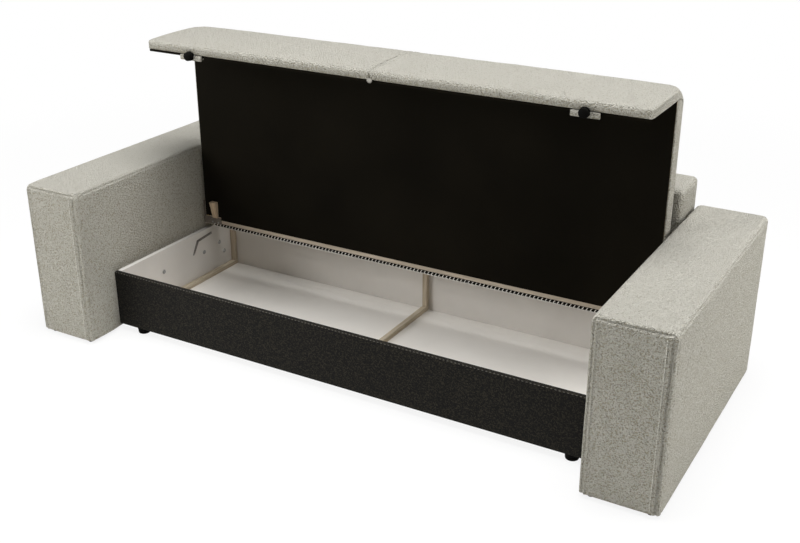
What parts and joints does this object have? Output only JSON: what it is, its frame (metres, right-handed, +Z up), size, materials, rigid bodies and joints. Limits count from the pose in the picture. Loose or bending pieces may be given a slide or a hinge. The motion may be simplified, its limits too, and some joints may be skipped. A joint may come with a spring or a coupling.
{
  "type": "storage sofa",
  "caption": "Low sofa with two box arms, a backrest and a one-piece seat with a drop front that lifts on side hinges over a shallow storage box.",
  "frame": {"origin": "on the floor, in the middle of the bounding box", "axes": "+X across the sofa to the sitter's left, +Y to the rear, +Z up"},
  "size_m": [2.466, 1.042, 1.09],
  "materials": {
    "boucle": "mottled beige-grey boucle weave",
    "black_cloth": "matt black spunbond",
    "black_weave": "black woven with fine brown flecks",
    "foam": "cut foam",
    "pine": "raw sawn softwood",
    "beech": "raw beech",
    "chipboard": "raw chipboard",
    "white_laminate": "white laminate on chipboard, satin",
    "fibreboard": "white-faced hardboard",
    "steel": "zinc-plated pressed steel",
    "spring_steel": "phosphated spring wire",
    "black_plastic": "moulded matt black"
  },
  "bodies": {
    "base": {"left_arm_frame": "chipboard", "right_arm_frame": "chipboard", "left_arm_base": "chipboard", "right_arm_base": "chipboard", "left_arm_foam": "foam", "right_arm_foam": "foam", "left_arm_cover": "boucle", "right_arm_cover": "boucle", "arm_glides": "black_plastic", "box_front_board": "chipboard", "box_front_cloth": "black_weave", "box_left_side": "white_laminate", "box_right_side": "white_laminate", "box_rear_board": "white_laminate", "left_floor_panel": "fibreboard", "right_floor_panel": "fibreboard", "side_battens": "pine", "centre_batten": "pine", "rear_posts": "pine", "box_feet": "black_plastic", "arm_bolts": "steel", "left_hinge_plate": "steel", "right_hinge_plate": "steel", "hinge_pins": "steel", "hinge_bolts": "steel", "wall_straps": "steel", "strap_screws": "steel", "back_left_upright": "pine", "back_right_upright": "pine", "back_rails": "pine", "back_panel": "chipboard", "back_foam": "foam", "back_cover": "boucle", "back_lower_board": "chipboard", "back_lower_cover": "boucle", "back_packers": "pine", "back_bolts": "steel"},
    "seat": {"seat_front_rail": "pine", "seat_rear_rail": "pine", "seat_left_rail": "chipboard", "seat_right_rail": "chipboard", "seat_centre_rail": "pine", "seat_springs": "spring_steel", "seat_foam": "foam", "seat_cover": "boucle", "seat_underside_cloth": "black_cloth", "drop_front_board": "chipboard", "drop_front_foam": "foam", "drop_front_cover": "boucle", "drop_front_lining": "black_cloth", "foot_blocks": "boucle", "drop_front_feet": "black_plastic", "pull_tab": "boucle", "left_seat_bracket": "steel", "right_seat_bracket": "steel", "bracket_screws": "steel", "filler_blocks": "beech"}
  },
  "joints": [
    {"name": "seat_lift", "type": "hinge", "parent": "base", "child": "seat", "pos_m": [0, 0.2415, 0.3475], "axis": [1, 0, 0], "range_deg": [0, 90]}
  ]
}
